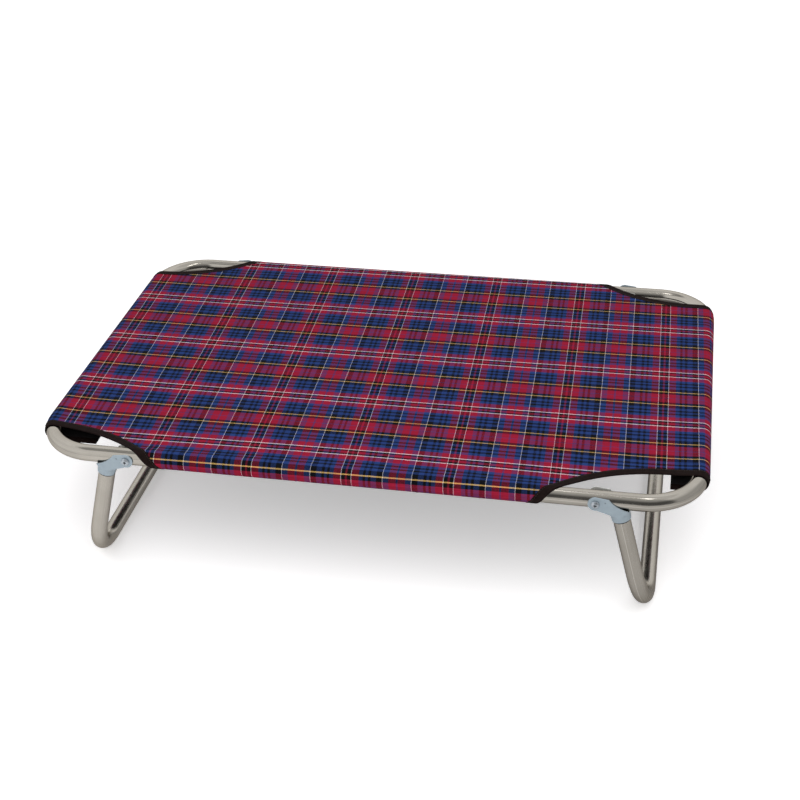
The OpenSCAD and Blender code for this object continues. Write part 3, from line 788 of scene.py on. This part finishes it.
def sweepPrism():
    # all below the sweep
    start, bend, end = [Vector(point) for point in plate["sweep"]]
    far, deep = plate["cutTo"]
    steps = [i / plate["sweepSteps"] for i in range(plate["sweepSteps"] + 1)]
    edge = [(1 - t) ** 2 * start + 2 * t * (1 - t) * bend + t ** 2 * end for t in steps]
    edge += [Vector((far, end.y)), Vector((far, deep)), Vector((start.x, deep))]
    count = len(edge)
    ends = [range(count), range(2 * count - 1, count - 1, -1)]
    sides = [(i, (i + 1) % count, count + (i + 1) % count, count + i) for i in range(count)]
    prism = bpy.data.meshes.new("sweepPrism")
    prism.from_pydata([(p.x, out, p.y) for out in plate["cutThrough"] for p in edge], [], ends + sides)
    closeShell(prism)
    return prism


def gripTurn():
    # the turn of the flat plate into the round grip
    reach, height = plate["gripR"] + plate["skin"], plate["outside"] + plate["skin"]
    top, low = plate["blend"]
    turn = bmesh.new()
    for side in (-1, 1):
        for out in (plate["turnFrom"], height):
            for up in (-top, plate["turnHigh"] - top):
                turn.verts.new((leg["offset"] + side * reach, out, up))
    for i in range(plate["gripSteps"] + 1):
        angle = math.pi * i / plate["gripSteps"]
        turn.verts.new((leg["offset"] + reach * math.cos(angle), reach * math.sin(angle), -low))
    made = bmesh.ops.convex_hull(turn, input=turn.verts)
    spare = [v for v in made["geom_interior"] if isinstance(v, bmesh.types.BMVert)]
    bmesh.ops.delete(turn, geom=spare, context="VERTS")
    hull = bpy.data.meshes.new("gripTurn")
    turn.to_mesh(hull)
    turn.free()
    closeShell(hull)
    return hull


sweepTool = cutAway(sweepPrism(), gripTurn())   # in mm from the pivot


def sweptPlate(sideX, sideY, face):
    words = (*cornerWords(sideX, sideY), "outer" if face > 0 else "inner")
    node = "hinge_plate_" + "_".join(words)
    solid = nodes[node].data
    mesh = bpy.data.meshes.new(node)
    mesh.from_pydata([v.co for v in solid.vertices], [], [list(f.vertices) for f in solid.polygons])
    merged = bmesh.new()
    merged.from_mesh(mesh)
    bmesh.ops.remove_doubles(merged, verts=merged.verts, dist=plate["weld"] * mm)
    merged.to_mesh(mesh)
    merged.free()
    tool = sweepTool.copy()
    for vertex in tool.vertices:
        vertex.co = plateSpot((sideX, sideY, face), *vertex.co)
    closeShell(tool)
    mesh = cutAway(mesh, tool)
    mesh.shade_smooth()
    mesh.set_sharp_from_angle(angle=plate["sharp"])
    piece = newPiece(pieceName("plate", words), mesh, [zincPlate if face > 0 else zincInner])
    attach(piece, words[1] + "_leg")
    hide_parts(node)
    print("  ", piece.name, len(mesh.polygons), "faces")


for sideX in (-1, 1):
    for sideY in (-1, 1):
        for face in (-1, 1):
            sweptPlate(sideX, sideY, face)
print("hinge plates swept")


# finishes of the parts that keep their solids

def finishSolid(name, mat):
    solid = nodes[name]
    solid.data.materials.clear()
    solid.data.materials.append(mat)


for name in nodes:
    if name.startswith(("pivot_screw", "pivot_washer", "pivot_nut", "pivot_bush", "spigot")):
        finishSolid(name, zincScrew)
    elif "rivets" in name:
        finishSolid(name, rivetMetal)
print("solids finished")


# floor, light and camera

def rayKinds(tree):
    # 1 for rays that show the background: straight from the camera, in metal or through glass
    path = addNode(tree, "ShaderNodeLightPath").outputs
    first = mathNode(tree, "MAXIMUM", path["Is Camera Ray"], path["Is Glossy Ray"])
    seen = mathNode(tree, "MAXIMUM", first, path["Is Transmission Ray"])
    return seen, path["Is Glossy Ray"]


floorLook = {
    "colour": "#F3F2F2", "reach": 15.0,   # m
    "keep": 1.3,                          # the paper as the camera sees it, times its own white
    "lift": (0.34, 0.6),                  # its glow near the object and far from it
    "liftFrom": (0.9, 2.4),               # m from the middle to near and far
    "metalFrom": (-0.45, 0.45),           # m, left and right end of the floor as metal shows it
    "metalShade": (1.0, 0.72), "metalLift": (0.2, 0.05),
}


def buildFloor():
    mat, tree = newMaterial("Paper backdrop, matt white")
    seen, inMetal = rayKinds(tree)
    where = addNode(tree, "ShaderNodeTexCoord").outputs["Object"]
    away = addNode(tree, "ShaderNodeVectorMath", {0: where}, operation="LENGTH").outputs["Value"]
    across = splitNode(tree, where)[0]
    glow = rangeNode(tree, away, floorLook["liftFrom"], floorLook["lift"])
    metalShade = rangeNode(tree, across, floorLook["metalFrom"], floorLook["metalShade"])
    metalLift = rangeNode(tree, across, floorLook["metalFrom"], floorLook["metalLift"])
    bright = rangeNode(tree, seen, target=(1.0, floorLook["keep"]))
    keep = rangeNode(tree, inMetal, target=(bright, metalShade))
    lift = rangeNode(tree, inMetal, target=(glow, metalLift))
    paper = mixNode(tree, 1.0, linear(floorLook["colour"]), keep, "MULTIPLY")
    matt = addNode(tree, "ShaderNodeBsdfDiffuse", {"Color": paper})
    light = addNode(tree, "ShaderNodeEmission", {"Strength": mathNode(tree, "MULTIPLY", seen, lift)})
    closeMaterial(mat, {0: matt.outputs[0], 1: light.outputs[0]}, "ShaderNodeAddShader")
    mesh = bpy.data.meshes.new("floor")
    reach = floorLook["reach"]
    corners = [(-reach, -reach, 0), (reach, -reach, 0), (reach, reach, 0), (-reach, reach, 0)]
    mesh.from_pydata(corners, [], [(0, 1, 2, 3)])
    newPiece("floor", mesh, [mat])


# sides are ways to look, edges how near to that way it begins, and rises how high a tone begins and ends
studio = {
    "sky": 0.45,                                                  # the light that matt faces get
    "roomSide": (0.375, -0.927, 0.0), "roomEdge": (0.72, 0.88),   # the unlit room behind the camera
    "roomRise": (0.55, 1.0), "roomTone": (0.1, 0.65),
    "flagSide": (-1.0, 0.0, 0.0), "flagEdge": (0.25, 0.6),        # dark flag over the left end
    "flagRise": (0.92, 0.985), "flagTone": 0.38,
    "wallSide": (1.0, 0.0, 0.0), "wallEdge": (0.5, 0.85),         # grey wall on the right
    "wallRise": (0.55, 0.85), "wallTone": 0.55,
    "ceilingEdge": (0.85, 0.885), "ceilingTone": 0.75,
}


def buildWorld():
    # white all round for the camera; metal also shows the room, the ceiling, the flag and the wall
    world = bpy.data.worlds.new("studio")
    world.use_nodes = True
    scene.world = world
    tree = world.node_tree
    tree.nodes.clear()
    seen, inMetal = rayKinds(tree)
    x, y, high = splitNode(tree, addNode(tree, "ShaderNodeTexCoord").outputs["Generated"])
    level = addNode(tree, "ShaderNodeCombineXYZ", {0: x, 1: y}).outputs[0]
    unit = addNode(tree, "ShaderNodeVectorMath", {0: level}, operation="NORMALIZE").outputs[0]
    masks = {}
    for name in ("room", "flag", "wall"):
        both = {0: unit, 1: studio[name + "Side"]}
        along = addNode(tree, "ShaderNodeVectorMath", both, operation="DOT_PRODUCT").outputs["Value"]
        masks[name] = rangeNode(tree, along, studio[name + "Edge"], curve="SMOOTHSTEP")
    overhead = rangeNode(tree, high, studio["ceilingEdge"], curve="SMOOTHSTEP")
    room = rangeNode(tree, high, studio["roomRise"], studio["roomTone"])
    flag = rangeNode(tree, high, studio["flagRise"], (studio["flagTone"], studio["ceilingTone"]))
    wall = rangeNode(tree, high, studio["wallRise"], (studio["wallTone"], 1.0))
    ceiling = rangeNode(tree, masks["flag"], target=(studio["ceilingTone"], flag))
    sides = rangeNode(tree, masks["wall"], target=(1.0, wall))
    upper = rangeNode(tree, overhead, target=(sides, ceiling))
    mirrored = rangeNode(tree, masks["room"], target=(upper, room))
    shown = rangeNode(tree, inMetal, target=(1.0, mirrored))
    strength = rangeNode(tree, seen, target=(studio["sky"], shown))
    sky = addNode(tree, "ShaderNodeBackground", {"Color": (1, 1, 1, 1), "Strength": strength})
    addNode(tree, "ShaderNodeOutputWorld", {"Surface": sky.outputs[0]})


# places and sizes in metres; the glints show in the bends
lampAim = Vector((0, 0, 0.2))
softbox = {"size": (3.2, 2.6), "power": 47.0, "inMetal": False}
glint = {"size": (0.35, 0.35), "power": 1.6, "inMetal": True}
lamps = [("softbox", (0.3, -1.4, 2.2), softbox), ("glint", (-0.06, 0.0, 2.6), glint),
         ("glint", (0.65, -0.35, 2.6), glint)]


def addLamp(name, place, look):
    lamp = bpy.data.lights.new(name, "AREA")
    lamp.shape = "RECTANGLE"
    lamp.size, lamp.size_y = look["size"]
    lamp.energy = look["power"]
    holder = bpy.data.objects.new(name, lamp)
    holder.visible_glossy = look["inMetal"]
    place = Vector(place)
    turn = (lampAim - place).to_track_quat("-Z", "Y").to_matrix().to_4x4()
    holder.matrix_world = Matrix.Translation(place) @ turn
    scene.collection.objects.link(holder)


# fitted to the photograph: place in metres, turn about the upright, height above the horizon and roll
photoView = {"place": (0.422895, -2.063466, 1.418171), "azimuth": 0.201036868, "elevation": 0.54037379,
             "roll": -0.023555897, "focalPixels": 1493.97049, "imagePixels": 800, "sensor": 36.0}


def placeCamera():
    a, e, roll = photoView["azimuth"], photoView["elevation"], photoView["roll"]
    right = Vector((math.cos(a), math.sin(a), 0))
    up = Vector((-math.sin(a) * math.sin(e), math.cos(a) * math.sin(e), math.cos(e)))
    c, s = math.cos(roll), math.sin(roll)
    axes = Matrix((c * right + s * up, -s * right + c * up, right.cross(up))).transposed()
    data = bpy.data.cameras.new("photoCamera")
    data.sensor_width = photoView["sensor"]
    data.lens = photoView["focalPixels"] / photoView["imagePixels"] * data.sensor_width
    camera = bpy.data.objects.new("photoCamera", data)
    camera.matrix_world = Matrix.Translation(photoView["place"]) @ axes.to_4x4()
    scene.collection.objects.link(camera)
    scene.camera = camera


buildFloor()
buildWorld()
for lamp in lamps:
    addLamp(*lamp)
placeCamera()
scene.view_settings.view_transform = "Standard"
print("stage and camera set")
